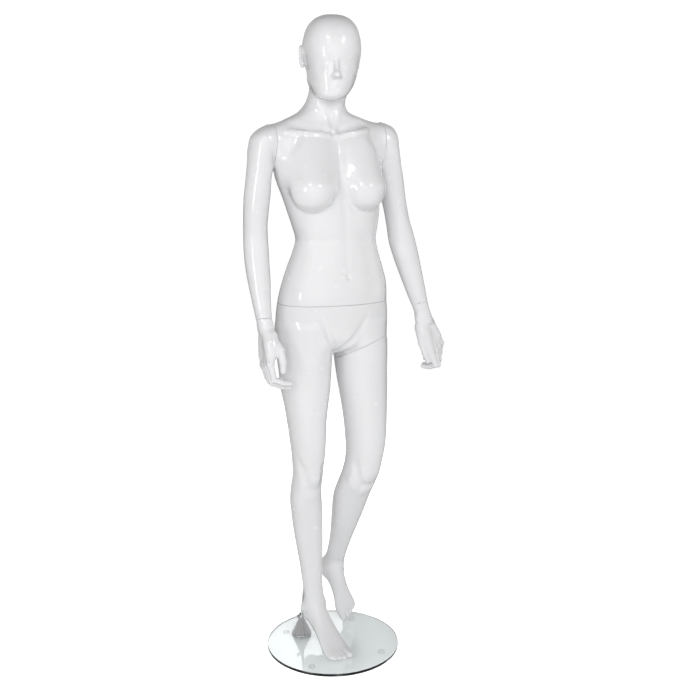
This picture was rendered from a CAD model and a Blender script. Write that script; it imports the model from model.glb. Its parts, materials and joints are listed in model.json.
import json
import math

import bmesh
import bpy
import numpy as np
from mathutils import Matrix, Vector


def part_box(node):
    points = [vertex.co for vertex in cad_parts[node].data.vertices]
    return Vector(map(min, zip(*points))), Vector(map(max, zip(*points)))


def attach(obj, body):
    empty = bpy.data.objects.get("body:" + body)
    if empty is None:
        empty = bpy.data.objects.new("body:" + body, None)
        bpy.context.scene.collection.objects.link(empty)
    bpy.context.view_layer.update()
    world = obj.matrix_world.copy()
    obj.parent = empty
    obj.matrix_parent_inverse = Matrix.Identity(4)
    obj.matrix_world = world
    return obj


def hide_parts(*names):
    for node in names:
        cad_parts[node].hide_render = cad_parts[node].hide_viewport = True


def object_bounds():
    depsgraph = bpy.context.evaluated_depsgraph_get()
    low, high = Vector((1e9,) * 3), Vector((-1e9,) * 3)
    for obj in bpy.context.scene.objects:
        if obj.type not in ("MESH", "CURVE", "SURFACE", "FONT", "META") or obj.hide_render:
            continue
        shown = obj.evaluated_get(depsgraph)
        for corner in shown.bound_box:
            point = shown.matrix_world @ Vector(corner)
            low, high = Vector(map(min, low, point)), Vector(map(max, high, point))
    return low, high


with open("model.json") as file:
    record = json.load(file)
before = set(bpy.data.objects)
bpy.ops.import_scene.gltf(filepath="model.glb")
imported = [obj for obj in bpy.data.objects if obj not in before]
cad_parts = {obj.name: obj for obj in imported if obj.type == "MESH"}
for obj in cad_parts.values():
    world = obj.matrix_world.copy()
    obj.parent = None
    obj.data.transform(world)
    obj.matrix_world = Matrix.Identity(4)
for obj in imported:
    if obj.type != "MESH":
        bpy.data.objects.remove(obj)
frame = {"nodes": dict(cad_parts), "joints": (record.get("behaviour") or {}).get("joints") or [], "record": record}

CAD_LOW, CAD_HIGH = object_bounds()

# ---- measures taken from the frame --------------------------------------------------------

FIGURE_HEIGHT = 1753.0                  # height of the figure in the units of the tables below
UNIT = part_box("upper_body")[1].z / FIGURE_HEIGHT     # one table unit (a millimetre) in metres
JOINTS = {joint["name"]: joint for joint in frame["joints"]}
HALF_SEAM = 0.35                         # half of the gap between two shells
WALL = 4.0                              # skin of the hollow shells
ROUND = 0.7                             # rounding of a shell's edge at a seam

BODY_STEP = 2.6       # grid steps used for the skins
HEAD_STEP = 1.7
LIMB_STEP = 2.4
HAND_STEP = 1.2
FOOT_STEP = 1.5

# ---- outlines of the body -----------------------------------------------------------------
# Each row is one level outline: height, centre x, centre y, half width, depth to the front,
# depth to the back.

TRUNK = [
    (880, 0, 5, 62, 58, 66), (895, 0, 5, 118, 82, 100), (915, 1, 5, 146, 95, 113),
    (940, 2, 5, 155, 100, 115), (975, 3, 4, 156, 100, 108), (1013, 3, 2, 153, 97, 97),
    (1060, 7, 0, 147, 91, 86), (1110, 9, 0, 132, 84, 78), (1150, 11, 0, 118, 78, 74),
    (1180, 13, 1, 111, 75, 74), (1215, 12, 3, 118, 78, 78), (1250, 9, 5, 126, 83, 82),
    (1290, 3, 7, 133, 88, 86), (1337, -3, 8, 145, 88, 86), (1370, -5, 9, 152, 82, 84),
    (1400, -6, 10, 168, 75, 78), (1440, -6, 11, 176, 65, 68), (1468, -7, 12, 164, 54, 58),
    (1488, -12, 14, 118, 48, 54), (1508, -17, 15, 70, 46, 54), (1528, -13, 14, 53, 46, 54),
    (1550, -7, 10, 49, 48, 53), (1600, -5, 6, 47, 46, 50),
]
JAW = [
    (1538, -22, -64, 18, 16, 20), (1546, -20, -54, 34, 36, 40), (1565, -13, -38, 50, 56, 58),
    (1590, -4, -16, 61, 84, 76), (1615, 0, -9, 66, 94, 86), (1640, 1, -5, 70, 97, 94),
    (1665, 1, -3, 73, 98, 98), (1690, 1, -3, 70, 92, 94),
]
RIGHT_ARM = [
    (1476, -170, 11, 14, 20, 24), (1464, -176, 11, 22, 34, 38), (1452, -181, 11, 29, 42, 46),
    (1420, -187, 12, 34, 47, 50),
    (1380, -191, 12, 34, 43, 45), (1340, -196.5, 14, 33, 41, 42), (1300, -200, 16, 34, 40, 41),
    (1260, -203.5, 18, 33, 38, 39), (1220, -205.5, 20, 31.5, 36, 38), (1190, -205.5, 20, 32, 35, 38),
    (1160, -206.5, 14, 32.5, 35, 37), (1120, -207.5, 4, 32, 35, 36), (1080, -207, -7, 30, 33, 33),
    (1040, -206.5, -18, 26, 29, 30), (1000, -205, -29, 22.5, 26, 26), (950, -202, -43, 19, 23, 23),
]
LEFT_ARM = [
    (1486, 148, 11, 14, 18, 22), (1476, 156, 11, 24, 28, 32), (1464, 159, 11, 28, 36, 40),
    (1452, 162, 11, 30, 42, 46),
    (1420, 166, 12, 32, 47, 50),
    (1380, 173, 12, 32, 43, 45), (1340, 180.5, 13, 33, 41, 42), (1300, 187, 15, 33, 40, 41),
    (1260, 197, 18, 32, 38, 39), (1220, 209, 24, 33, 36, 38), (1190, 218, 27, 36, 36, 38),
    (1165, 223.5, 26, 38, 36, 38), (1130, 230, 18, 37, 36, 37), (1090, 238, 8, 34, 33, 34),
    (1050, 246, -3, 30.5, 30, 30), (1010, 254, -14, 26, 27, 27), (976, 262, -23, 22.5, 24, 24), (940, 270, -33, 21, 23, 22),
]
RIGHT_LEG = [
    (960, -74, 5, 68, 90, 96), (900, -78, 5, 74, 91, 102), (860, -78.5, 4, 72, 86, 94),
    (820, -77.5, 4, 69, 80, 86), (770, -77, 3, 65, 76, 80), (730, -76, 2, 58.5, 72, 74),
    (680, -74.5, 2, 52, 66, 70), (630, -72, 2, 48, 62, 64), (590, -71, 2, 44.5, 58, 58),
    (555, -72, 2, 41.5, 54, 52), (520, -74, 3, 40, 53, 48), (490, -76.5, 6, 41, 49, 50),
    (450, -75, 11, 43, 46, 54), (410, -70.5, 16, 42.5, 43, 54), (370, -66.5, 21, 41, 40, 51),
    (330, -62.5, 24, 38.5, 36.5, 47), (290, -58.5, 27, 35.5, 34, 41), (250, -55, 29, 32, 31, 36),
    (215, -52, 31, 30, 30, 32), (180, -49, 33, 28, 29, 29), (150, -45.5, 35, 28.5, 31, 29),
    (115, -46, 35, 28, 32, 26),
]
LEFT_LEG = [
    (960, 78, 4, 68, 90, 94), (900, 83, 2, 73, 91, 98), (860, 85, -1, 71, 87, 92),
    (820, 86.5, -4, 69, 80, 86), (770, 89, -8, 66, 76, 80), (730, 91, -12, 62.5, 72, 76),
    (680, 93, -16, 58.5, 68, 72), (630, 93, -20, 55.5, 64, 66), (590, 89.5, -24, 52.5, 60, 58),
    (560, 83.5, -26, 51, 58, 52), (530, 74, -28, 52, 58, 48), (500, 65, -22, 52, 56, 50),
    (460, 60, -4, 50, 50, 60), (420, 59, 15, 46, 47, 60), (380, 58.5, 34, 41, 44, 54),
    (340, 57.5, 53, 36, 40, 46), (300, 56.5, 72, 31, 36, 40), (260, 55, 91, 28, 33, 36),
    (220, 54, 110, 27, 31, 34), (190, 55, 124, 28, 30, 33), (160, 58, 134, 27, 29, 30),
]
HEAD_TURN = -14.0


# ---- fields: negative inside, positive outside, in millimetres ----------------------------

def smooth_min(a, b, k):
    h = np.clip(0.5 + 0.5 * (b - a) / k, 0.0, 1.0)
    return b + (a - b) * h - k * h * (1.0 - h)


def smooth_max(a, b, k):
    return -smooth_min(-a, -b, k)


def ramp(value, low, high):
    t = np.clip((value - low) / (high - low), 0.0, 1.0)
    return t * t * (3.0 - 2.0 * t)


def smooth_columns(rows):
    """Level outlines resampled every millimetre with smooth curves between the rows."""
    table = np.array(sorted(rows), float)
    heights = table[:, 0]
    slopes = np.gradient(table[:, 1:], heights, axis=0)
    fine = np.arange(heights[0], heights[-1] + 0.5, 1.0)
    index = np.clip(np.searchsorted(heights, fine, side="right") - 1, 0, len(heights) - 2)
    span = heights[index + 1] - heights[index]
    t = ((fine - heights[index]) / span)[:, None]
    a, b = table[index, 1:], table[index + 1, 1:]
    slope_a, slope_b = slopes[index] * span[:, None], slopes[index + 1] * span[:, None]
    values = (a * (2 * t**3 - 3 * t**2 + 1) + slope_a * (t**3 - 2 * t**2 + t)
              + b * (3 * t**2 - 2 * t**3) + slope_b * (t**3 - t**2))
    return fine, values


FAR = 1e3                               # value of a field far away from its part
MARGIN = 34.0                           # a part's field is worked out only this close to it


def boxed(field, low, high):
    """The same field, worked out only inside a box and its margin."""
    low, high = np.array(low) - MARGIN, np.array(high) + MARGIN

    def limited(p):
        near = ((p > low) & (p < high)).all(1)
        if near.all():
            return field(p)
        result = np.full(len(p), FAR)
        if near.any():
            result[near] = field(p[near])
        return result
    return limited


def limb(rows, power=2.0, end_blend=12.0, turn=0.0):
    """Field of a body part that follows its level outlines."""
    fine, values = smooth_columns(rows)
    cosine, sine = math.cos(math.radians(turn)), math.sin(math.radians(turn))

    def field(p):
        z = np.clip(p[:, 2], fine[0], fine[-1])
        cx, cy, half_width, front, back = (np.interp(z, fine, values[:, c]) for c in range(5))
        dx, dy = p[:, 0] - cx, p[:, 1] - cy
        across, ahead = np.abs(dx * cosine + dy * sine), dy * cosine - dx * sine
        depth = np.where(ahead > 0, back, front)
        ahead = np.abs(ahead)
        u, v = across / half_width + 1e-6, ahead / depth + 1e-6
        r = (u**power + v**power) ** (1 / power)
        slope = r ** (1 - power) * np.hypot(u ** (power - 1) / half_width, v ** (power - 1) / depth)
        result = (r - 1) / slope
        result = smooth_max(result, fine[0] - p[:, 2], end_blend)
        return smooth_max(result, p[:, 2] - fine[-1], end_blend)

    reach = values[:, 2:].max(1)[:, None]
    low = (values[:, :2] - reach).min(0)
    high = (values[:, :2] + reach).max(0)
    return boxed(field, (low[0], low[1], fine[0]), (high[0], high[1], fine[-1]))


def ellipsoid(centre, radii, turn=(0, 0, 0), power=2.0):
    """Field of an ellipsoid; turn holds degrees about X, Y and Z."""
    centre = np.array(centre, float)
    radii = np.array(radii, float)
    about_x, about_y, about_z = (math.radians(angle) for angle in turn)
    spin = (Matrix.Rotation(about_z, 3, "Z") @ Matrix.Rotation(about_y, 3, "Y")
            @ Matrix.Rotation(about_x, 3, "X"))
    axes = np.array(spin)

    def field(p):
        q = np.abs((p - centre) @ axes) / radii + 1e-6
        r = (q**power).sum(1) ** (1 / power)
        slope = r ** (1 - power) * np.sqrt(((q ** (power - 1) / radii) ** 2).sum(1))
        return (r - 1) / slope

    return boxed(field, centre - radii.max(), centre + radii.max())


def round_cone(start, end, radius, end_radius):
    """Field of a rod with round ends whose radius changes along its length."""
    a, b = np.array(start, float), np.array(end, float)
    along = b - a

    def field(p):
        t = np.clip(((p - a) @ along) / (along @ along), 0.0, 1.0)
        nearest = a + t[:, None] * along
        return np.linalg.norm(p - nearest, axis=1) - (radius + (end_radius - radius) * t)

    widest = max(radius, end_radius)
    return boxed(field, np.minimum(a, b) - widest, np.maximum(a, b) + widest)


def placed(field, origin, side, up, toward):
    """A field made in its own axes, stood at a place on the figure."""
    origin = np.array(origin, float)
    axes = np.array([side, up, toward], float).T
    return lambda p: field((p - origin) @ axes)


def join(blend, *fields):
    """Smooth union; blend may be a number or a function of the points."""
    def field(p):
        k = blend(p) if callable(blend) else blend
        result = fields[0](p)
        for other in fields[1:]:
            result = smooth_min(result, other(p), k)
        return result
    return field


def carve(base, cutter, blend):
    def field(p):
        return smooth_max(base(p), -cutter(p), blend)
    return field


def spread(path, step=7.0):
    """A path with points added so that none are far apart."""
    path = np.array(path, float)
    if len(path) == 1:
        return np.vstack([path, path + (0, 0, 0.01, 0)])
    lengths = np.linalg.norm(np.diff(path[:, :3], axis=0), axis=1)
    travelled = np.concatenate([[0.0], np.cumsum(lengths)])
    spots = np.linspace(0, travelled[-1], max(2, int(travelled[-1] / step) + 1))
    return np.stack([np.interp(spots, travelled, path[:, c]) for c in range(4)], 1)


STROKE_REACH = 2.83                     # a stroke ends this many widths from its middle


def reach_square(width):
    return (STROKE_REACH * width) ** 2


def sculpt(base, strokes):
    """Raises or lowers a surface along soft strokes.

    Each stroke is a width and a path; each point of a path is x, y, z and the height of the
    stroke there, which is negative for a groove.
    """
    prepared = []
    for width, path in strokes:
        points = spread(path)
        points[:, :3] = pull_to_surface(base, points[:, :3], 6, 20.0)
        reach = STROKE_REACH * width
        prepared.append((width, points, points[:, :3].min(0) - reach, points[:, :3].max(0) + reach))

    def field(p):
        result = base(p)
        for width, points, low, high in prepared:
            near = np.nonzero(((p > low) & (p < high)).all(1))[0]
            if not len(near):
                continue
            q = p[near]
            best = np.full(len(near), 1e9)
            height = np.zeros(len(near))
            for a, b in zip(points, points[1:]):
                along = b[:3] - a[:3]
                t = np.clip(((q - a[:3]) @ along) / (along @ along), 0.0, 1.0)
                square = ((q - a[:3] - t[:, None] * along) ** 2).sum(1)
                closer = square < best
                best = np.where(closer, square, best)
                height = np.where(closer, a[3] + (b[3] - a[3]) * t, height)
            result[near] -= height * np.clip(1 - best / reach_square(width), 0, 1) ** 4
        return result
    return field


def half_space(origin, normal):
    """Field of everything behind a plane; the normal points out of the solid side."""
    origin, normal = np.array(origin, float), np.array(normal, float)
    normal = normal / np.linalg.norm(normal)
    return lambda p: (p - origin) @ normal


# ---- from field to mesh -------------------------------------------------------------------

CHUNK = 400000


def evaluate(field, points):
    return np.concatenate([field(points[i:i + CHUNK]) for i in range(0, len(points), CHUNK)])


def steps_between(stops):
    """Grid lines through (position, step) stops; each step holds until the next stop."""
    lines = []
    for (low, step), (high, _) in zip(stops, stops[1:]):
        count = max(1, round((high - low) / step))
        lines.extend(low + (high - low) * np.arange(count) / count)
    while len(lines) % 4 != 1:
        lines.append(lines[-1] + stops[-2][1])
    return np.array(lines)


def sample(field, xs, ys, zs):
    """Values on a grid; blocks of four cells that lie far from the surface stay coarse."""
    block = 4
    coarse = [axis[::block] for axis in (xs, ys, zs)]
    mesh = np.stack(np.meshgrid(*coarse, indexing="ij"), -1).reshape(-1, 3)
    values = evaluate(field, mesh).reshape([len(axis) for axis in coarse])
    size = max(np.diff(axis).max() for axis in coarse)
    near = np.abs(values) < size * 2.2
    cells = np.zeros([n - 1 for n in near.shape], bool)
    for i in (0, 1):
        for j in (0, 1):
            for k in (0, 1):
                cells |= near[i:near.shape[0] - 1 + i, j:near.shape[1] - 1 + j,
                              k:near.shape[2] - 1 + k]
    fine = np.repeat(np.repeat(np.repeat(values[:-1, :-1, :-1], block, 0), block, 1), block, 2)
    result = np.full([len(xs), len(ys), len(zs)], 1e3)
    result[:-1, :-1, :-1] = fine
    wanted = np.zeros(result.shape, bool)
    grown = np.repeat(np.repeat(np.repeat(cells, block, 0), block, 1), block, 2)
    for i in (0, 1):
        for j in (0, 1):
            for k in (0, 1):
                wanted[i:result.shape[0] - 1 + i, j:result.shape[1] - 1 + j,
                       k:result.shape[2] - 1 + k] |= grown
    index = np.nonzero(wanted)
    points = np.stack([xs[index[0]], ys[index[1]], zs[index[2]]], 1)
    result[index] = evaluate(field, points)
    return result


def surface(field, xs, ys, zs):
    """Vertices and quads of the zero surface on a grid, by surface nets."""
    values = sample(field, xs, ys, zs)
    inside = values < 0
    shape = [n - 1 for n in values.shape]
    count = np.zeros(shape, np.int8)
    for i in (0, 1):
        for j in (0, 1):
            for k in (0, 1):
                count += inside[i:shape[0] + i, j:shape[1] + j, k:shape[2] + k]
    active = (count > 0) & (count < 8)
    cells = np.argwhere(active)
    index = np.full(shape, -1)
    index[active] = np.arange(len(cells))
    lines = (xs, ys, zs)
    total = np.zeros((len(cells), 3))
    crossings = np.zeros(len(cells))
    for axis in range(3):
        others = [n for n in range(3) if n != axis]
        for u in (0, 1):
            for v in (0, 1):
                start = cells.copy()
                start[:, others[0]] += u
                start[:, others[1]] += v
                end = start.copy()
                end[:, axis] += 1
                a, b = values[tuple(start.T)], values[tuple(end.T)]
                crossed = (a < 0) != (b < 0)
                share = a[crossed] / (a[crossed] - b[crossed])
                point = np.stack([lines[n][start[crossed, n]] for n in range(3)], 1)
                step = lines[axis][end[crossed, axis]] - lines[axis][start[crossed, axis]]
                point[:, axis] += share * step
                total[crossed] += point
                crossings[crossed] += 1
    vertices = total / crossings[:, None]
    quads = []
    for axis in range(3):
        u, v = [(1, 2), (2, 0), (0, 1)][axis]
        low = [slice(1, n) for n in shape]
        low[axis] = slice(0, shape[axis])
        high = list(low)
        high[axis] = slice(1, shape[axis] + 1)
        first, second = inside[tuple(low)], inside[tuple(high)]
        spots = np.argwhere(first != second)
        leaving = first[first != second]
        offset = np.ones(3, int)
        offset[axis] = 0
        corner = spots + offset
        ring = []
        for du, dv in ((0, 0), (-1, 0), (-1, -1), (0, -1)):
            cell = corner.copy()
            cell[:, u] += du
            cell[:, v] += dv
            ring.append(index[tuple(cell.T)])
        quad = np.stack(ring, 1)
        quad[~leaving] = quad[~leaving][:, ::-1]
        quads.append(quad)
    return vertices, np.concatenate(quads)


def gradient(field, points, reach=0.35):
    columns = []
    for axis in range(3):
        offset = np.zeros(3)
        offset[axis] = reach
        columns.append((evaluate(field, points + offset) - evaluate(field, points - offset)))
    return np.stack(columns, 1) / (2 * reach)


def pull_to_surface(field, points, rounds, limit):
    for _ in range(rounds):
        slope = gradient(field, points)
        step = evaluate(field, points)[:, None] * slope / ((slope**2).sum(1)[:, None] + 1e-9)
        length = np.linalg.norm(step, axis=1)[:, None]
        points = points - step * np.minimum(1.0, limit / (length + 1e-9))
    return points


def relax(vertices, quads, share):
    """Moves every vertex towards the middle of its neighbours."""
    total = np.zeros_like(vertices)
    count = np.zeros(len(vertices))
    for a, b in ((0, 1), (1, 2), (2, 3), (3, 0)):
        np.add.at(total, quads[:, a], vertices[quads[:, b]])
        np.add.at(total, quads[:, b], vertices[quads[:, a]])
        np.add.at(count, quads[:, a], 1)
        np.add.at(count, quads[:, b], 1)
    return vertices + share * (total / np.maximum(count, 1)[:, None] - vertices)


def skin(field, xs, ys, zs):
    vertices, quads = surface(field, xs, ys, zs)
    limit = 0.7 * max(np.diff(axis).max() for axis in (xs, ys, zs))
    vertices = pull_to_surface(field, vertices, 1, limit)
    for _ in range(2):
        vertices = relax(vertices, quads, 0.6)
        vertices = pull_to_surface(field, vertices, 1, limit)
    return pull_to_surface(field, vertices, 1, limit), quads


def bmesh_from(vertices, quads):
    mesh = bpy.data.meshes.new("skin")
    mesh.from_pydata((vertices * UNIT).tolist(), [], quads.tolist())
    bm = bmesh.new()
    bm.from_mesh(mesh)
    bpy.data.meshes.remove(mesh)
    return bm


def object_from(bm, name, smooth=True):
    mesh = bpy.data.meshes.new(name)
    bm.normal_update()
    bm.to_mesh(mesh)
    bm.free()
    if smooth:
        mesh.shade_smooth()
    piece = bpy.data.objects.new(name, mesh)
    bpy.context.scene.collection.objects.link(piece)
    return piece


# ---- seams --------------------------------------------------------------------------------

def cut_at(bm, origin, normal, where=None):
    """Removes what lies in front of a plane and returns the edges of the cut."""
    origin, normal = Vector(origin) * UNIT, Vector(normal).normalized()
    faces = [face for face in bm.faces if where is None or where(face.calc_center_median() / UNIT)]
    edges = {edge for face in faces for edge in face.edges}
    verts = {vert for face in faces for vert in face.verts}
    made = bmesh.ops.bisect_plane(bm, geom=faces + list(edges) + list(verts), dist=1e-6,
                                  plane_co=origin, plane_no=normal)
    cut = [item for item in made["geom_cut"] if isinstance(item, bmesh.types.BMEdge)]
    doomed = []
    for face in bm.faces:
        middle = face.calc_center_median()
        if (middle - origin).dot(normal) > 0 and (where is None or where(middle / UNIT)):
            doomed.append(face)
    bmesh.ops.delete(bm, geom=doomed, context="FACES")
    return [edge for edge in cut if edge.is_valid and len(edge.link_faces) == 1]


def ordered_loop(edges):
    """Vertices of one closed chain of edges, in order."""
    start = edges[0].verts[0]
    loop, previous, current = [start], None, start
    members = set(edges)
    while True:
        for edge in current.link_edges:
            if edge in members and edge.other_vert(current) is not previous:
                following = edge.other_vert(current)
                break
        if following is start:
            return loop
        loop.append(following)
        previous, current = current, following


def rim_profile():
    """(inset, advance) of a shell's edge: a quarter round, a flat rim, then the inner wall."""
    profile = []
    for index in range(1, 4):
        angle = math.radians(30 * index)
        profile.append((ROUND * (1 - math.cos(angle)), ROUND * math.sin(angle)))
    profile += [(WALL, ROUND), (WALL + 0.1, ROUND - 0.5), (WALL + 0.1, ROUND - 14.0)]
    return profile


def close_shell(bm, field, edges, normal):
    """Adds the rounded rim and the inner wall along a cut, and closes the shell behind them."""
    loop = ordered_loop(edges)
    normal = Vector(normal).normalized()
    points = np.array([vert.co for vert in loop]) / UNIT
    inward = -gradient(field, points)
    axis = np.array(normal)
    inward -= (inward @ axis)[:, None] * axis
    inward /= np.linalg.norm(inward, axis=1)[:, None]
    previous = loop
    for inset, advance in rim_profile():
        ring = []
        for point, side in zip(points, inward):
            ring.append(bm.verts.new(Vector((point + side * inset + axis * advance) * UNIT)))
        for index in range(len(loop)):
            following = (index + 1) % len(loop)
            bm.faces.new((previous[index], previous[following], ring[following], ring[index]))
        previous = ring
    bm.faces.new(previous)
    return points, inward


def seam(bm, field, origin, normal, where=None):
    """Cuts a skin at a seam and finishes the edge; normal points at the neighbouring shell."""
    normal = Vector(normal).normalized()
    start = Vector(origin) - normal * (HALF_SEAM + ROUND)
    edges = cut_at(bm, start, normal, where)
    return close_shell(bm, field, edges, normal)


def finish_normals(bm):
    bmesh.ops.recalc_face_normals(bm, faces=bm.faces[:])


# ---- places taken from the joints ---------------------------------------------------------

def joint_origin(name):
    return np.array(JOINTS[name]["pos_m"]) / UNIT


def joint_axis(name):
    return np.array(JOINTS[name]["axis"])


WAIST = joint_origin("waist_turn")
RIGHT_SHOULDER = joint_origin("right_shoulder_turn")
LEFT_SHOULDER = joint_origin("left_shoulder_turn")
LEG_SEAM = joint_origin("left_leg_turn")
LEG_DOWN = -joint_axis("left_leg_turn")             # from the hips into the left leg
RIGHT_WRIST = joint_origin("right_wrist_turn")
LEFT_WRIST = joint_origin("left_wrist_turn")


# ---- head ---------------------------------------------------------------------------------

FACE_FORWARD = np.array([math.sin(math.radians(HEAD_TURN)), -math.cos(math.radians(HEAD_TURN)), 0])
FACE_LEFT = np.array([math.cos(math.radians(HEAD_TURN)), math.sin(math.radians(HEAD_TURN)), 0])


def face(across, forward, height):
    """A point on the head: towards its own left, forward of its middle, height above the floor."""
    point = np.array([0.0, -5.0, 0.0]) + FACE_LEFT * across + FACE_FORWARD * forward
    return point[0], point[1], height


def stroke_on_face(width, *points):
    return width, [face(*point[:3]) + (point[3],) for point in points]


def ear(side):
    """Shell of one ear with its hollow and inner fold."""
    out = FACE_LEFT * side
    middle = np.array(face(side * 76, -12, 1651) if side < 0 else face(side * 69, -22, 1648))
    turn = (12, 0, HEAD_TURN + side * 28)
    body = ellipsoid(middle, (6, 15, 27), turn)
    hollow = ellipsoid(middle + out * 5, (4.5, 9, 18), turn)
    fold = ellipsoid(middle + out * 1.5 + (0, 2, 2), (3.5, 3.5, 12), turn)
    lobe = ellipsoid(middle + (0, -5, -22), (5, 7, 8), turn)
    return join(2.5, carve(join(3, body, lobe), hollow, 3), fold)


def head():
    skull = ellipsoid((1, -3, 1672), (72.5, 97, 80), (0, 0, HEAD_TURN), power=2.45)
    jaw = limb(JAW, 2.1, 10, HEAD_TURN)
    bridge = round_cone(face(0, 91, 1638), face(0, 103, 1600), 5.5, 7.2)
    tip = ellipsoid(face(0, 106, 1598), (7.5, 9.0, 8.5), (0, 0, HEAD_TURN))
    wings = [ellipsoid(face(side * 8, 99, 1595), (5, 8, 6), (0, 0, HEAD_TURN)) for side in (-1, 1)]
    nose = join(5, bridge, tip, *wings)
    shape = join(7, join(10, skull, jaw), nose)
    shape = join(3, shape, ear(-1), ear(1))
    strokes = []
    for side in (-1, 1):
        strokes += [
            stroke_on_face(12, (side * 22, 92, 1620, -2.2), (side * 38, 85, 1617, -2.0)),
            stroke_on_face(7, (side * 30, 92, 1612, 1.2)),
            stroke_on_face(5, (side * 12, 98, 1630, -2.2), (side * 14, 96, 1600, -3.0)),
            stroke_on_face(16, (side * 44, 78, 1598, 1.5)),
            stroke_on_face(2.6, (side * 4.5, 107, 1588, -1.2)),
        ]
    strokes += [
        stroke_on_face(15, (0, 94, 1568, 2.0)),
        stroke_on_face(3.5, (-13, 96, 1572, 0.3), (0, 100, 1573, 0.9), (13, 96, 1572, 0.3)),
        stroke_on_face(2.6, (-14, 96, 1567, -0.5), (0, 100, 1567, -0.9), (14, 96, 1567, -0.5)),
        stroke_on_face(4.2, (-10, 96, 1561, 0.4), (0, 100, 1560, 1.0), (10, 96, 1561, 0.4)),
        stroke_on_face(12, (0, 90, 1545, 1.5)),
    ]
    return sculpt(shape, strokes)


# ---- torso --------------------------------------------------------------------------------

def armpit_blend(p):
    """The arm meets the chest in a crease below and flows into the shoulder above."""
    return 5.0 + 27.0 * ramp(p[:, 2], 1392, 1440)


def breast_blend(p):
    """The breast folds under below and flows into the chest above."""
    return 7.0 + 26.0 * ramp(p[:, 2], 1275, 1350)


def breasts():
    shapes = []
    for x, forward in ((-75, -59), (67, -60)):
        round_part = ellipsoid((x, forward, 1310), (56, 58, 54))
        slope = limb([(1285, x, -55, 40, 40, 20), (1310, x, -58, 52, 54, 30),
                      (1340, x * 0.99, -58, 52, 50, 30), (1370, x * 0.96, -56, 48, 42, 30),
                      (1400, x * 0.92, -52, 41, 31, 25), (1430, x * 0.88, -48, 32, 20, 20),
                      (1455, x * 0.85, -44, 20, 9, 15)], 2.0, 14)
        shapes.append(join(18, round_part, slope))
    return join(6, *shapes)


def torso_strokes():
    return [
        (6, [(-24, -53, 1451, 4), (-75, -60, 1458, 5), (-132, -42, 1467, 3)]),
        (6, [(-8, -53, 1451, 4), (40, -60, 1461, 5), (84, -45, 1471, 3)]),
        (8, [(-38, -48, 1463, -4), (-75, -48, 1472, -7), (-120, -30, 1482, -3)]),
        (8, [(4, -48, 1465, -5), (38, -48, 1474, -8), (72, -34, 1484, -4)]),
        (20, [(44, 10, 1512, 4), (78, 12, 1498, 9), (113, 12, 1488, 8), (146, 12, 1480, 2)]),
        (6, [(-17, -50, 1458, -4)]),
        (8, [(-46, 0, 1592, 3), (-38, -20, 1530, 3), (-24, -46, 1466, 4)]),
        (8, [(36, -10, 1592, 3), (20, -26, 1530, 3), (-10, -46, 1466, 4)]),
        (11, [(92, -55, 1440, -3), (118, -42, 1402, -6), (135, -24, 1380, -4)]),
        (11, [(-118, -52, 1432, -2), (-144, -40, 1404, -4), (-158, -22, 1384, -3)]),
        (7, [(-5, -82, 1345, -1), (0, -82, 1310, -3), (8, -77, 1250, -2), (12, -75, 1190, -2),
             (13, -84, 1115, -1.5)]),
        (4.2, [(13, -88, 1091, -4.0), (13, -88, 1085, -4.5)]),
        (14, [(-8, -80, 1262, 2), (-50, -70, 1238, 3), (-90, -45, 1212, 2)]),
        (14, [(12, -80, 1262, 2), (58, -70, 1238, 3), (102, -45, 1212, 2)]),
        (16, [(-48, -72, 1180, -2), (-58, -76, 1120, -2)]),
        (16, [(72, -72, 1180, -3), (84, -76, 1120, -3), (90, -70, 1060, -3)]),
        (40, [(6, -92, 1052, 3)]),
        (20, [(-104, -62, 1040, 4)]),
        (20, [(112, -62, 1036, 4)]),
        (12, [(-10, 80, 1440, -3), (3, 85, 1300, -5), (12, 75, 1180, -7), (9, 82, 1090, -4),
              (6, 92, 1050, 0)]),
        (26, [(-78, 70, 1390, 6), (-70, 80, 1350, 5)]),
        (26, [(66, 70, 1390, 6), (60, 80, 1350, 5)]),
    ]


def groin_strokes():
    return [
        (6.5, [(-74, -96, 996, 0), (-60, -98, 968, -3), (-42, -95, 930, -6), (-24, -80, 898, -7),
               (-15, -62, 882, -7), (-6, -78, 893, -7), (16, -92, 912, -6.5), (44, -97, 944, -5),
               (64, -95, 976, -3), (72, -94, 994, 0)]),
        (26, [(-2, -96, 940, 4)]),
    ]


def thigh_strokes():
    return [
        (30, [(-72, -88, 880, 3)]),
        (30, [(84, -88, 880, 3)]),
    ]


def buttocks():
    return join(12, ellipsoid((-68, 46, 936), (74, 74, 76)), ellipsoid((72, 46, 936), (74, 74, 76)))


def trunk():
    lean = [(z, x, y, half, front, min(back, 92) if z < 970 else back)
            for z, x, y, half, front, back in TRUNK]
    return limb(lean, 2.25, 8)


def above(rows, height):
    return [row for row in rows if row[0] >= height]


def body():
    """Torso, head, hips, shoulders and the tops of the thighs as one field."""
    chest = join(breast_blend, trunk(), breasts())
    hips = join(14, chest, limb(above(RIGHT_LEG, 730), 2.1), limb(above(LEFT_LEG, 820), 2.1))
    hips = join(16, hips, buttocks())
    arms = [limb(above(rows, 1250), end_blend=26) for rows in (RIGHT_ARM, LEFT_ARM)]
    shape = join(armpit_blend, hips, *arms)
    shape = join(9, shape, head())
    return sculpt(shape, torso_strokes() + groin_strokes() + thigh_strokes())


def switched(height, upper, lower):
    """One field above a height and another below it, for places where the two agree."""
    def field(p):
        result = np.empty(len(p))
        high = p[:, 2] > height
        if high.any():
            result[high] = upper(p[high])
        if not high.all():
            result[~high] = lower(p[~high])
        return result
    return field


# ---- legs ---------------------------------------------------------------------------------

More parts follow.
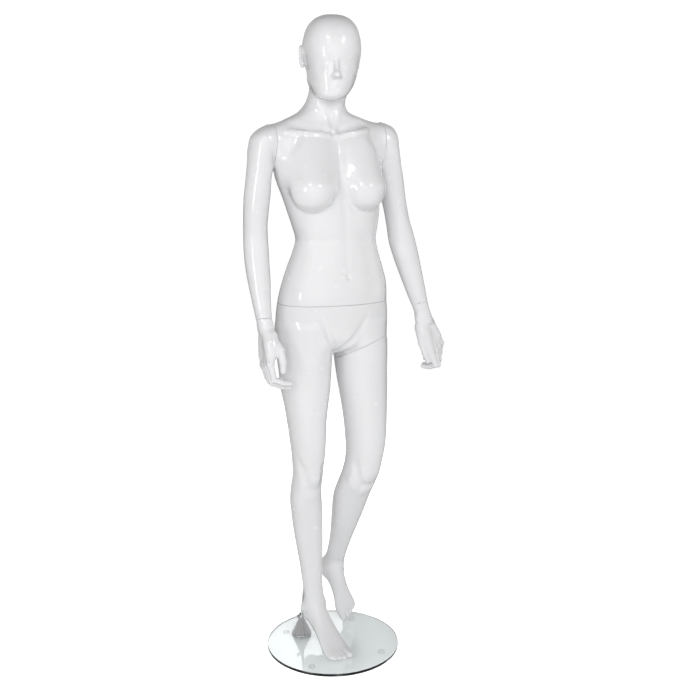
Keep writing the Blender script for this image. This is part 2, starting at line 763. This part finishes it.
RIGHT_FOOT = [
    (2, 78, 108, 14), (14, 68, 128, 24), (38, 60, 150, 27), (72, 43, 128, 27.5), (105, 24, 92, 31),
    (132, 14, 64, 35.5), (160, 12.6, 39, 36.5), (178, 13, 29, 31),
]
LEFT_FOOT = [
    (2, 14, 38, 13), (16, 5, 58, 23), (44, 0, 74, 25), (80, 4, 66, 23), (112, 4, 50, 25),
    (140, 0, 37, 30), (164, 0, 27, 33), (178, 1, 19, 29),
]
# Toes from the big one outwards: place across the foot, tip along the foot, radius.
TOES = [(22, 188, 10.0), (5, 188, 8.0), (-8, 184, 7.4), (-19, 178, 7.0), (-28, 170, 6.8)]


def foot(rows, heel, toward, up, inner_side, sole):
    toward = np.array(toward, float) / np.linalg.norm(toward)
    up = np.array(up, float) - toward * (np.array(up) @ toward)
    up /= np.linalg.norm(up)
    side = np.cross(toward, up)
    outlines = [(distance, 0, (low + high) / 2, half, (high - low) / 2, (high - low) / 2)
                for distance, low, high, half in rows]
    toes = []
    for across, tip, radius in TOES:
        level = sole + radius
        toes.append(join(3, round_cone((inner_side * across, level + 5, tip - 36),
                                       (inner_side * across, level + 1, tip - 14), radius, radius),
                         round_cone((inner_side * across, level + 1, tip - 14),
                                    (inner_side * across, level, tip), radius, radius * 0.92)))
    shape = join(6, limb(outlines, 2.1, 8), join(3.4, *toes))
    return placed(shape, heel, side, up, toward)


def right_leg():
    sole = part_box("glass_base")[1].z / UNIT + 0.6
    ankle_and_foot = foot(RIGHT_FOOT, (-55, 66, 0), (0.20, -0.98, 0), (0, 0, 1), -1, sole)
    shape = join(20, limb(RIGHT_LEG, 2.1), ankle_and_foot)
    strokes = [
        (13, [(-70, -50, 532, 5)]),
        (9, [(-106, -22, 590, -1), (-98, -36, 556, -5), (-92, -40, 520, -5), (-84, -42, 494, -3)]),
        (8, [(-88, -45, 496, -3), (-66, -46, 490, -3), (-50, -40, 500, -2)]),
        (8, [(-44, -40, 560, -3), (-44, -40, 520, -3)]),
        (11, [(-78, -42, 478, 2.5)]),
        (11, [(-17, 30, 124, 4.5)]),
        (11, [(-75, 40, 114, 4.5)]),
        (9, [(-24, 52, 160, -3), (-22, 50, 120, -3)]),
        (9, [(-70, 56, 160, -3), (-74, 58, 112, -3)]),
    ]
    return sculpt(shape, strokes)


def left_leg():
    ankle_and_foot = foot(LEFT_FOOT, (26, 164, 199), (0.305, -0.40, -0.87), (0.15, -0.88, 0.45), 1, 0)
    shape = join(20, limb(LEFT_LEG, 2.1), ankle_and_foot)
    strokes = [
        (15, [(70, -84, 536, 5)]),
        (8, [(36, -66, 580, -1), (42, -72, 552, -5), (50, -74, 524, -6), (60, -74, 506, -5)]),
        (8, [(62, -74, 502, -5), (80, -70, 500, -4), (96, -60, 508, -2)]),
        (9, [(34, -58, 520, 3), (42, -62, 500, 3)]),
        (11, [(60, -62, 478, 2.5)]),
        (10, [(26, 122, 170, 4.5)]),
        (10, [(86, 128, 166, 4.5)]),
    ]
    return sculpt(shape, strokes)


def rod_channel():
    """The bore in the right calf; it clears the support rod over its whole length."""
    low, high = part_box("support_rod")
    tilt = joint_axis("figure_lift")
    top = np.array([(low.x + high.x) / 2, (low.y + high.y) / 2, (low.z + high.z) / 2]) / UNIT
    half = (high.z - low.z) / UNIT / 2 / tilt[2]
    return round_cone(top - tilt * half, top + tilt * half, 5.4, 5.4)


# ---- arms and hands -----------------------------------------------------------------------

FINGER_LENGTHS = [(42, 25, 21), (46, 28, 22), (43, 26, 22), (34, 21, 20)]    # index to little
FINGER_RADII = [(9.0, 8.0, 7.3, 6.3), (9.0, 8.2, 7.5, 6.5), (8.8, 7.9, 7.2, 6.2),
                (8.0, 7.0, 6.4, 5.6)]
FINGER_SPACING = 18.0
KNUCKLE_ALONG = 95.0
THUMB_LENGTHS = (44, 32, 24)
THUMB_RADII = (12.5, 10.5, 9.5, 7.5)


class Hand:
    """Directions of one hand: along the palm, out of the palm, and towards the thumb."""

    def __init__(self, seam, forearm, cuff, along, palm):
        self.wrist = np.array(seam) + np.array(forearm) * cuff
        self.along = np.array(along) / np.linalg.norm(along)
        palm = np.array(palm) - self.along * (np.array(palm) @ self.along)
        self.palm = palm / np.linalg.norm(palm)
        across = np.cross(self.along, self.palm)
        self.thumb = across if across[1] < 0 else -across

    def point(self, thumb, palm, along):
        return self.wrist + self.thumb * thumb + self.palm * palm + self.along * along


def chain(root, directions, lengths, radii, blend=2.5):
    pieces = []
    for direction, length, radius, following in zip(directions, lengths, radii, radii[1:]):
        end = root + direction * length
        pieces.append(round_cone(root, end, radius, following))
        root = end
    return join(blend, *pieces)


def hand(place, curls, thumb_aim, web_end):
    palm_parts, fingers = [], []
    for index, (lengths, radii, curl) in enumerate(zip(FINGER_LENGTHS, FINGER_RADII, curls)):
        offset = FINGER_SPACING * (1.5 - index)
        knuckle = place.point(offset, 3, KNUCKLE_ALONG - 3 * abs(index - 1))
        palm_parts.append(round_cone(place.point(offset * 0.45, 2, -4), knuckle, 13.5, 9.5))
        bend, directions = 0.0, []
        for step in curl:
            bend += math.radians(step)
            directions.append(place.along * math.cos(bend) + place.palm * math.sin(bend))
        fingers.append(chain(knuckle, directions, lengths, radii))
    directions = [place.thumb * t + place.palm * p + place.along * a for t, p, a in thumb_aim]
    directions = [direction / np.linalg.norm(direction) for direction in directions]
    thumb = chain(place.point(18, 8, 20), directions, THUMB_LENGTHS, THUMB_RADII, 4)
    heel = round_cone(place.point(-18, 5, 22), place.point(-22, 4, 62), 13, 11)
    ball = round_cone(place.point(20, 9, 20), place.point(26, 11, 50), 14, 12)
    web = round_cone(place.point(22, 5, 40), place.point(*web_end), 12, 8)
    palm = join(14, join(12, *palm_parts), heel, ball, web)
    return join(6, palm, join(9, thumb, ball), join(1.2, *fingers))


def right_arm():
    place = Hand(RIGHT_WRIST + (3, 0, 0), joint_axis("right_wrist_turn"), 28, (-0.10, -0.30, -0.94),
                 (1, 0.05, 0))
    curls = [(13, 58, 16), (14, 58, 16), (15, 58, 16), (17, 56, 16)]
    thumb = [(0.35, 0.45, 0.82), (0.05, 0.20, 0.97), (-0.05, 0.02, 1.0)]
    return join(12, limb(RIGHT_ARM, 2.0, 10), hand(place, curls, thumb, (28, 12, 72)))


def left_arm():
    place = Hand(LEFT_WRIST, joint_axis("left_wrist_turn"), 43, (0.39, -0.20, -0.94),
                 (-0.50, 0.87, 0))
    curls = [(8, 80, 22), (16, 78, 24), (24, 74, 26), (32, 70, 28)]
    thumb = [(0.42, 0.12, 0.90), (0.02, 0.12, 0.98), (-0.05, 0.15, 0.98)]
    return join(12, limb(LEFT_ARM, 2.0, 10), hand(place, curls, thumb, (26, 6, 66)))


# ---- pieces -------------------------------------------------------------------------------

ARM_SWITCH = 1320.0                     # above this height an arm's field includes the shoulder
LEG_SWITCH = 850.0


def grid(low, high, step):
    return steps_between([(low, step), (high, step)])


def right_of_middle(point):
    return point.x > 2 and point.z > 700


def upper_body_skin(whole):
    levels = steps_between([(1006, BODY_STEP), (1500, HEAD_STEP), (1760, HEAD_STEP)])
    bm = bmesh_from(*skin(whole, grid(-180, 170, BODY_STEP * 0.8), grid(-150, 125, BODY_STEP * 0.8),
                          levels))
    seam(bm, whole, WAIST, (0, 0, -1))
    seam(bm, whole, RIGHT_SHOULDER, (-1, 0, 0), lambda p: p.z > 1200)
    seam(bm, whole, LEFT_SHOULDER, (1, 0, 0), lambda p: p.z > 1200)
    return bm


def lower_body_skin(whole):
    field = switched(LEG_SWITCH, whole, sculpt(right_leg(), thigh_strokes()))
    field = carve(field, rod_channel(), 1.0)
    levels = steps_between([(4, FOOT_STEP), (110, FOOT_STEP * 1.3), (300, BODY_STEP),
                            (1024, BODY_STEP)])
    bm = bmesh_from(*skin(field, grid(-165, 168, BODY_STEP * 0.85), grid(-145, 135, BODY_STEP * 0.85),
                          levels))
    seam(bm, whole, WAIST, (0, 0, 1))
    seam(bm, whole, LEG_SEAM, LEG_DOWN, right_of_middle)
    return bm


def left_leg_skin(whole):
    field = switched(LEG_SWITCH, whole, sculpt(left_leg(), thigh_strokes()))
    levels = steps_between([(4, FOOT_STEP), (170, FOOT_STEP * 1.5), (260, BODY_STEP),
                            (975, BODY_STEP)])
    bm = bmesh_from(*skin(field, grid(3, 168, BODY_STEP * 0.85), grid(-110, 190, BODY_STEP * 0.85),
                          levels))
    seam(bm, whole, LEG_SEAM, -LEG_DOWN)
    return bm


def arm_skin(whole, arm, shoulder, side, wrist, forearm):
    field = switched(ARM_SWITCH, whole, arm)
    lines = sorted([shoulder[0] - side * 6, shoulder[0] + side * 150])
    bm = bmesh_from(*skin(field, grid(lines[0], lines[1], LIMB_STEP), grid(-75, 80, LIMB_STEP),
                          grid(wrist[2] - 22, 1496, LIMB_STEP)))
    seam(bm, whole, shoulder, (-side, 0, 0), lambda p: p.z > 1200)
    seam(bm, arm, wrist, forearm)
    return bm


def hand_skin(arm, wrist, forearm, low, high):
    axes = [grid(low[axis], high[axis], HAND_STEP) for axis in range(3)]
    bm = bmesh_from(*skin(arm, *axes))
    seam(bm, arm, wrist, -forearm)
    return bm


# ---- materials ----------------------------------------------------------------------------

def new_material(name):
    material = bpy.data.materials.new(name)
    material.use_nodes = True
    tree = material.node_tree
    return material, tree, tree.nodes["Principled BSDF"]


def noise(tree, scale, detail=3.0, roughness=0.5):
    """Noise over the object's own coordinates."""
    place = tree.nodes.new("ShaderNodeTexCoord")
    texture = tree.nodes.new("ShaderNodeTexNoise")
    texture.inputs["Scale"].default_value = scale
    texture.inputs["Detail"].default_value = detail
    texture.inputs["Roughness"].default_value = roughness
    tree.links.new(place.outputs["Object"], texture.inputs["Vector"])
    return texture.outputs["Fac"]


def mapped(tree, value, low, high):
    node = tree.nodes.new("ShaderNodeMapRange")
    node.inputs["To Min"].default_value = low
    node.inputs["To Max"].default_value = high
    tree.links.new(value, node.inputs["Value"])
    return node.outputs["Result"]


def blended(tree, value, low, high):
    """Colour between two colours, picked by a value from 0 to 1."""
    node = tree.nodes.new("ShaderNodeMix")
    node.data_type = "RGBA"
    node.inputs["A"].default_value = (*low, 1)
    node.inputs["B"].default_value = (*high, 1)
    tree.links.new(value, node.inputs["Factor"])
    return node.outputs["Result"]


def bump(tree, shader, height, strength, distance, socket="Normal"):
    node = tree.nodes.new("ShaderNodeBump")
    node.inputs["Strength"].default_value = strength
    node.inputs["Distance"].default_value = distance
    tree.links.new(height, node.inputs["Height"])
    tree.links.new(node.outputs["Normal"], shader.inputs[socket])


def gloss_white():
    """Sprayed white gloss over glass fibre: even, with a faint ripple under a clear top coat."""
    material, tree, shader = new_material("gloss_white")
    tone = noise(tree, 9, 2)
    tree.links.new(blended(tree, tone, (0.80, 0.80, 0.81), (0.825, 0.825, 0.84)),
                   shader.inputs["Base Color"])
    tree.links.new(mapped(tree, noise(tree, 40, 3), 0.22, 0.30), shader.inputs["Roughness"])
    shader.inputs["Coat Weight"].default_value = 1.0
    shader.inputs["Coat Roughness"].default_value = 0.035
    shader.inputs["Coat IOR"].default_value = 1.5
    bump(tree, shader, noise(tree, 260, 2), 0.10, 0.0004)
    bump(tree, shader, noise(tree, 34, 1), 0.12, 0.0008, "Coat Normal")
    return material


def tempered_glass():
    """Clear glass with a grey-green tint; shadow rays pass through it."""
    material, tree, shader = new_material("tempered_glass")
    tree.links.new(blended(tree, noise(tree, 3, 1), (0.940, 0.958, 0.960), (0.948, 0.964, 0.966)),
                   shader.inputs["Base Color"])
    tree.links.new(mapped(tree, noise(tree, 60, 4), 0.0, 0.012), shader.inputs["Roughness"])
    shader.inputs["Transmission Weight"].default_value = 1.0
    shader.inputs["IOR"].default_value = 1.52
    shader.inputs["Specular IOR Level"].default_value = 0.9
    bump(tree, shader, noise(tree, 12, 1), 0.02, 0.0005)
    path = tree.nodes.new("ShaderNodeLightPath")
    clear = tree.nodes.new("ShaderNodeBsdfTransparent")
    clear.inputs["Color"].default_value = (0.95, 0.98, 0.98, 1)
    mix = tree.nodes.new("ShaderNodeMixShader")
    tree.links.new(path.outputs["Is Shadow Ray"], mix.inputs["Fac"])
    tree.links.new(shader.outputs["BSDF"], mix.inputs[1])
    tree.links.new(clear.outputs["BSDF"], mix.inputs[2])
    tree.links.new(mix.outputs["Shader"], tree.nodes["Material Output"].inputs["Surface"])
    return material


def metal(name, dark, light, rough_low, rough_high, scratch_scale):
    material, tree, shader = new_material(name)
    shader.inputs["Metallic"].default_value = 1.0
    tree.links.new(blended(tree, noise(tree, 70, 4), dark, light), shader.inputs["Base Color"])
    tree.links.new(mapped(tree, noise(tree, 180, 5), rough_low, rough_high),
                   shader.inputs["Roughness"])
    bump(tree, shader, noise(tree, scratch_scale, 6), 0.06, 0.0001)
    return material


def rubber(name, dark, light):
    material, tree, shader = new_material(name)
    tree.links.new(blended(tree, noise(tree, 220, 4), dark, light), shader.inputs["Base Color"])
    tree.links.new(mapped(tree, noise(tree, 300, 3), 0.55, 0.75), shader.inputs["Roughness"])
    bump(tree, shader, noise(tree, 900, 3), 0.3, 0.0002)
    return material


def clear_rubber():
    material, tree, shader = new_material("clear_rubber")
    tree.links.new(blended(tree, noise(tree, 150, 3), (0.80, 0.82, 0.82), (0.88, 0.89, 0.89)),
                   shader.inputs["Base Color"])
    tree.links.new(mapped(tree, noise(tree, 200, 3), 0.2, 0.35), shader.inputs["Roughness"])
    shader.inputs["Transmission Weight"].default_value = 0.7
    shader.inputs["Alpha"].default_value = 0.22
    bump(tree, shader, noise(tree, 500, 3), 0.2, 0.0002)
    return material


def plywood():
    """Birch board under thin white primer: long grain with darker streaks."""
    material, tree, shader = new_material("plywood")
    place = tree.nodes.new("ShaderNodeTexCoord")
    stretch = tree.nodes.new("ShaderNodeMapping")
    stretch.inputs["Scale"].default_value = (6, 90, 90)
    grain = tree.nodes.new("ShaderNodeTexNoise")
    grain.inputs["Scale"].default_value = 4
    grain.inputs["Detail"].default_value = 6
    tree.links.new(place.outputs["Object"], stretch.inputs["Vector"])
    tree.links.new(stretch.outputs["Vector"], grain.inputs["Vector"])
    tree.links.new(blended(tree, grain.outputs["Fac"], (0.58, 0.53, 0.46), (0.78, 0.75, 0.69)),
                   shader.inputs["Base Color"])
    tree.links.new(mapped(tree, grain.outputs["Fac"], 0.55, 0.75), shader.inputs["Roughness"])
    bump(tree, shader, grain.outputs["Fac"], 0.3, 0.0005)
    return material


def nylon():
    material, tree, shader = new_material("nylon")
    tree.links.new(blended(tree, noise(tree, 120, 3), (0.62, 0.61, 0.57), (0.70, 0.69, 0.65)),
                   shader.inputs["Base Color"])
    tree.links.new(mapped(tree, noise(tree, 200, 3), 0.4, 0.55), shader.inputs["Roughness"])
    bump(tree, shader, noise(tree, 700, 3), 0.2, 0.0002)
    return material


def make_materials():
    return {
        "gloss_white": gloss_white(),
        "tempered_glass": tempered_glass(),
        "polished_chrome": metal("polished_chrome", (0.62, 0.62, 0.63), (0.72, 0.72, 0.73),
                                 0.05, 0.11, 900),
        "zinc_steel": metal("zinc_steel", (0.45, 0.45, 0.46), (0.60, 0.60, 0.60), 0.25, 0.42, 500),
        "plywood": plywood(),
        "clear_rubber": clear_rubber(),
        "black_rubber": rubber("black_rubber", (0.015, 0.015, 0.016), (0.03, 0.03, 0.03)),
        "nylon": nylon(),
    }


# ---- boards behind the seams --------------------------------------------------------------

BOARD = 10.0                            # thickness of a board that closes a shell
BOARD_RECESS = 0.6                      # how far a board sits behind the rim's face
HOLE_SIDES = 48


def board(name, outline, inward, normal, centre, hole_radius):
    """Plywood board that fills a shell's opening, with a round hole for the joint."""
    normal = np.array(normal, float) / np.linalg.norm(normal)
    bm = bmesh.new()
    rings = []
    for inset, advance in ((WALL + 0.6, -0.5), (WALL + 0.2, -1.0), (WALL + 0.2, -BOARD)):
        ring = outline + inward * inset + normal * (ROUND + advance - BOARD_RECESS + 0.5)
        rings.append([bm.verts.new(Vector(point * UNIT)) for point in ring])
    side = np.cross(normal, (0, 1, 0))
    side /= np.linalg.norm(side)
    other = np.cross(normal, side)
    plane = outline.mean(0) @ normal
    middle = np.array(centre) + normal * (plane - np.array(centre) @ normal)
    holes = []
    for advance in (-0.5, -BOARD):
        ring = []
        for index in range(HOLE_SIDES):
            angle = 2 * math.pi * index / HOLE_SIDES
            point = (middle + hole_radius * (side * math.cos(angle) + other * math.sin(angle))
                     + normal * (ROUND + advance - BOARD_RECESS + 0.5))
            ring.append(bm.verts.new(Vector(point * UNIT)))
        holes.append(ring)
    for first, second in ((rings[0], rings[1]), (rings[1], rings[2]), (holes[0], holes[1])):
        for index in range(len(first)):
            following = (index + 1) % len(first)
            bm.faces.new((first[index], first[following], second[following], second[index]))
    for outer, inner in ((rings[0], holes[0]), (rings[2], holes[1])):
        edges = []
        for ring in (outer, inner):
            for index in range(len(ring)):
                pair = (ring[index], ring[(index + 1) % len(ring)])
                edges.append(bm.edges.get(pair) or bm.edges.new(pair))
        bmesh.ops.triangle_fill(bm, use_beauty=True, edges=edges)
    bmesh.ops.recalc_face_normals(bm, faces=bm.faces[:])
    return object_from(bm, name, smooth=False)


# ---- putting it together ------------------------------------------------------------------

def material_slots():
    """Material slot of every CAD node, from the record."""
    return {part["node"]: part["material_slot"] for part in frame["record"]["subparts"]}


def add_piece(bm, name, body_name, node, materials):
    bmesh.ops.recalc_face_normals(bm, faces=bm.faces[:])
    piece = object_from(bm, name)
    piece.data.materials.append(materials["gloss_white"])
    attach(piece, body_name)
    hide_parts(node)
    return piece


def build_figure(materials):
    whole = body()
    right, left = right_arm(), left_arm()
    right_down, left_down = joint_axis("right_wrist_turn"), joint_axis("left_wrist_turn")
    skins = {
        "upper_body": upper_body_skin(whole),
        "lower_body": lower_body_skin(whole),
        "left_leg": left_leg_skin(whole),
        "right_arm": arm_skin(whole, right, RIGHT_SHOULDER, -1, RIGHT_WRIST, right_down),
        "left_arm": arm_skin(whole, left, LEFT_SHOULDER, 1, LEFT_WRIST, left_down),
        "right_hand": hand_skin(right, RIGHT_WRIST, right_down, (-250, -160, 790), (-130, 10, 1003)),
        "left_hand": hand_skin(left, LEFT_WRIST, left_down, (205, -160, 770), (350, 20, 1017)),
    }
    for name, bm in skins.items():
        add_piece(bm, name + "_skin", name, name, materials)


def finish_cad_nodes(materials):
    slots = material_slots()
    for name, node in frame["nodes"].items():
        node.data.materials.clear()
        node.data.materials.append(materials[slots[name]])


# ---- stage, light and camera --------------------------------------------------------------

def floor_material():
    """White studio floor that stays white to the camera but still takes soft shadows."""
    material, tree, shader = new_material("studio_floor")
    tree.links.new(blended(tree, noise(tree, 2, 2), (0.93, 0.93, 0.93), (0.95, 0.95, 0.95)),
                   shader.inputs["Base Color"])
    shader.inputs["Roughness"].default_value = 0.7
    path = tree.nodes.new("ShaderNodeLightPath")
    glow = tree.nodes.new("ShaderNodeMath")
    glow.operation = "MULTIPLY"
    glow.inputs[1].default_value = 0.85
    tree.links.new(path.outputs["Is Camera Ray"], glow.inputs[0])
    shader.inputs["Emission Color"].default_value = (1, 1, 1, 1)
    tree.links.new(glow.outputs["Value"], shader.inputs["Emission Strength"])
    return material


def studio_floor():
    bm = bmesh.new()
    size = 60 * CAD_HIGH.z
    low = CAD_LOW.z
    bm.faces.new([bm.verts.new((x * size, y * size, low)) for x, y in
                  ((-1, -1), (1, -1), (1, 1), (-1, 1))])
    floor = object_from(bm, "studio_floor", smooth=False)
    floor.data.materials.append(floor_material())


def studio_world():
    """White behind the figure; duller and darker overhead where only reflections see it."""
    world = bpy.data.worlds.new("studio")
    bpy.context.scene.world = world
    world.use_nodes = True
    tree = world.node_tree
    tree.nodes.clear()
    output = tree.nodes.new("ShaderNodeOutputWorld")
    mix = tree.nodes.new("ShaderNodeMixShader")
    seen, room = tree.nodes.new("ShaderNodeBackground"), tree.nodes.new("ShaderNodeBackground")
    seen.inputs["Color"].default_value = (1, 1, 1, 1)
    seen.inputs["Strength"].default_value = 1.05
    place = tree.nodes.new("ShaderNodeTexCoord")
    split = tree.nodes.new("ShaderNodeSeparateXYZ")
    height = tree.nodes.new("ShaderNodeValToRGB")
    stops = ((0.0, 0.95), (0.48, 0.95), (0.66, 0.85), (0.84, 0.35), (1.0, 0.03))
    while len(height.color_ramp.elements) < len(stops):
        height.color_ramp.elements.new(0.5)
    for element, (position, value) in zip(height.color_ramp.elements, stops):
        element.position = position
        element.color = (value, value, value, 1)
    share = tree.nodes.new("ShaderNodeMapRange")
    share.inputs["From Min"].default_value = -1.0
    tree.links.new(place.outputs["Generated"], split.inputs["Vector"])
    tree.links.new(split.outputs["Z"], share.inputs["Value"])
    tree.links.new(share.outputs["Result"], height.inputs["Fac"])
    tree.links.new(height.outputs["Color"], room.inputs["Color"])
    room.inputs["Strength"].default_value = 0.56
    path = tree.nodes.new("ShaderNodeLightPath")
    tree.links.new(path.outputs["Is Camera Ray"], mix.inputs["Fac"])
    tree.links.new(room.outputs["Background"], mix.inputs[1])
    tree.links.new(seen.outputs["Background"], mix.inputs[2])
    tree.links.new(mix.outputs["Shader"], output.inputs["Surface"])


def softbox(name, azimuth, distance, height, size, power, aim_height):
    """Rectangular lamp at a compass direction from the object, aimed at its axis."""
    light = bpy.data.lights.new(name, "AREA")
    light.shape = "RECTANGLE"
    light.size, light.size_y = size
    light.energy = power
    lamp = bpy.data.objects.new(name, light)
    angle = math.radians(azimuth)
    lamp.location = (distance * math.sin(angle), -distance * math.cos(angle), height)
    lamp.rotation_mode = "QUATERNION"
    aim = Vector((0, 0, aim_height)) - lamp.location
    lamp.rotation_quaternion = aim.to_track_quat("-Z", "Y")
    bpy.context.scene.collection.objects.link(lamp)
    return lamp


def studio_lights():
    softbox("side_left", -60, 2.6, 1.45, (0.14, 0.9), 6, 1.4)
    softbox("key_left", -35, 3.0, 3.1, (0.30, 0.30), 8, 1.1)
    softbox("key_right", 17, 2.8, 2.7, (0.30, 0.30), 8, 1.2)
    for name, azimuth, power in (("fill_left", -105, 8), ("fill_right", 70, 10), ("fill_back", 165, 16)):
        fill = softbox(name, azimuth, 2.8, 1.2, (0.8, 1.6), power, 0.8)
        fill.visible_glossy = False
    front = softbox("front", -20, 3.3, 1.9, (2.4, 2.0), 56, 0.7)
    front.visible_glossy = False


CAMERA_AZIMUTH = -22.0
CAMERA_DISTANCE = 2.6116
CAMERA_HEIGHT = 1.4123
CAMERA_PITCH = 11.595
CAMERA_YAW = 1.0975


def studio_camera():
    data = bpy.data.cameras.new("camera")
    data.lens = 50
    data.sensor_width = 36
    camera = bpy.data.objects.new("camera", data)
    angle = math.radians(CAMERA_AZIMUTH)
    camera.location = (CAMERA_DISTANCE * math.sin(angle), -CAMERA_DISTANCE * math.cos(angle),
                       CAMERA_HEIGHT)
    camera.rotation_euler = (math.radians(90 - CAMERA_PITCH), 0,
                             math.radians(CAMERA_AZIMUTH - CAMERA_YAW))
    bpy.context.scene.collection.objects.link(camera)
    bpy.context.scene.camera = camera


def main():
    materials = make_materials()
    finish_cad_nodes(materials)
    build_figure(materials)
    studio_floor()
    studio_world()
    studio_lights()
    studio_camera()
    bpy.context.scene.view_settings.view_transform = "Standard"


main()
